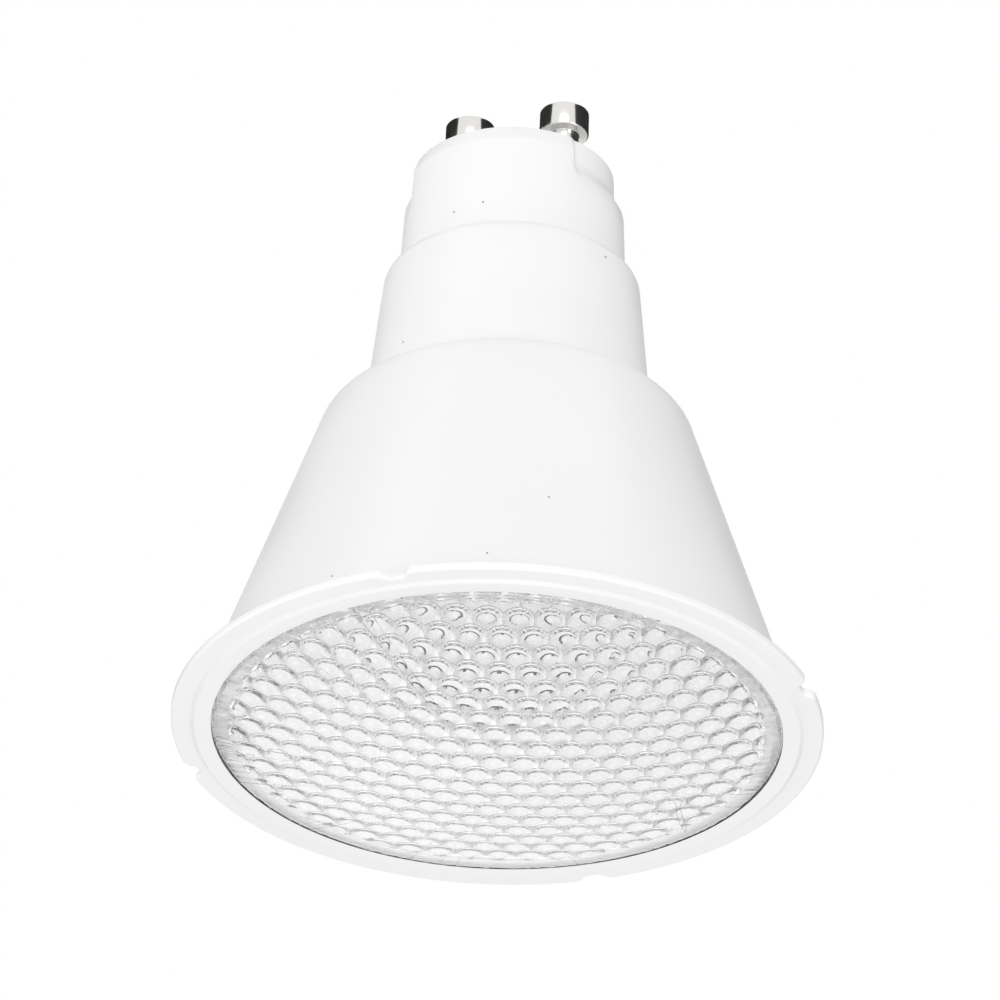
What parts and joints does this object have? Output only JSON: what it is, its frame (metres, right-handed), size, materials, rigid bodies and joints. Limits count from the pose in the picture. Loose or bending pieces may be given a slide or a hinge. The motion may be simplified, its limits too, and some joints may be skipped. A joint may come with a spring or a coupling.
{
  "type": "gu10 spotlight bulb",
  "caption": "Reflector spotlight bulb with a stepped white cone body, domed clear lens with a honeycomb of small bumps, notched front flange and twist-lock pins.",
  "frame": {"origin": "lowest point of the domed lens, on the bulb's axis", "axes": "+Z along the bulb's axis from the lens to the pins; the pins stand on the X axis"},
  "size_m": [0.0634, 0.0634, 0.0748],
  "materials": {
    "white_body": "smooth white, slight gloss",
    "white_cap": "smooth white, slight gloss",
    "plated_pin": "turned and nickel plated",
    "clear_lens": "clear, polished",
    "pale_seal": "matte white silicone",
    "white_bowl": "matte white",
    "white_board": "white lacquer",
    "diode": "matte",
    "grey_pad": "matte grey",
    "pressed_aluminium": "pressed, satin",
    "screw_steel": "plain",
    "insulator": "matte white",
    "green_board": "green lacquer",
    "ferrite": "dark grey ceramic",
    "winding_tape": "yellow tape",
    "can_sleeve": "black sleeve",
    "film_body": "dipped red-brown",
    "black_package": "matte black",
    "resistor_body": "lacquered",
    "white_wire": "insulated",
    "red_wire": "insulated",
    "black_wire": "insulated"
  },
  "bodies": {
    "root": {"housing": "white_body", "driver_case": "white_body", "gu10_cap": "white_cap", "contact_pin_left": "plated_pin", "contact_pin_right": "plated_pin", "lens": "clear_lens", "lens_gasket": "pale_seal", "reflector": "white_bowl", "diffuser": "white_bowl", "led_board": "white_board", "led_packages": "diode", "thermal_pad": "grey_pad", "heat_spreader": "pressed_aluminium", "board_screws": "screw_steel", "insulator_plate": "insulator", "driver_board": "green_board", "transformer_core": "ferrite", "transformer_winding": "winding_tape", "input_capacitor": "can_sleeve", "output_capacitor": "can_sleeve", "film_capacitor": "film_body", "drum_inductor": "ferrite", "bridge_rectifier": "black_package", "driver_chip": "black_package", "output_diode": "black_package", "fusible_resistor": "resistor_body", "input_wire_left": "white_wire", "input_wire_right": "white_wire", "output_wire_left": "red_wire", "output_wire_right": "black_wire"}
  },
  "joints": []
}
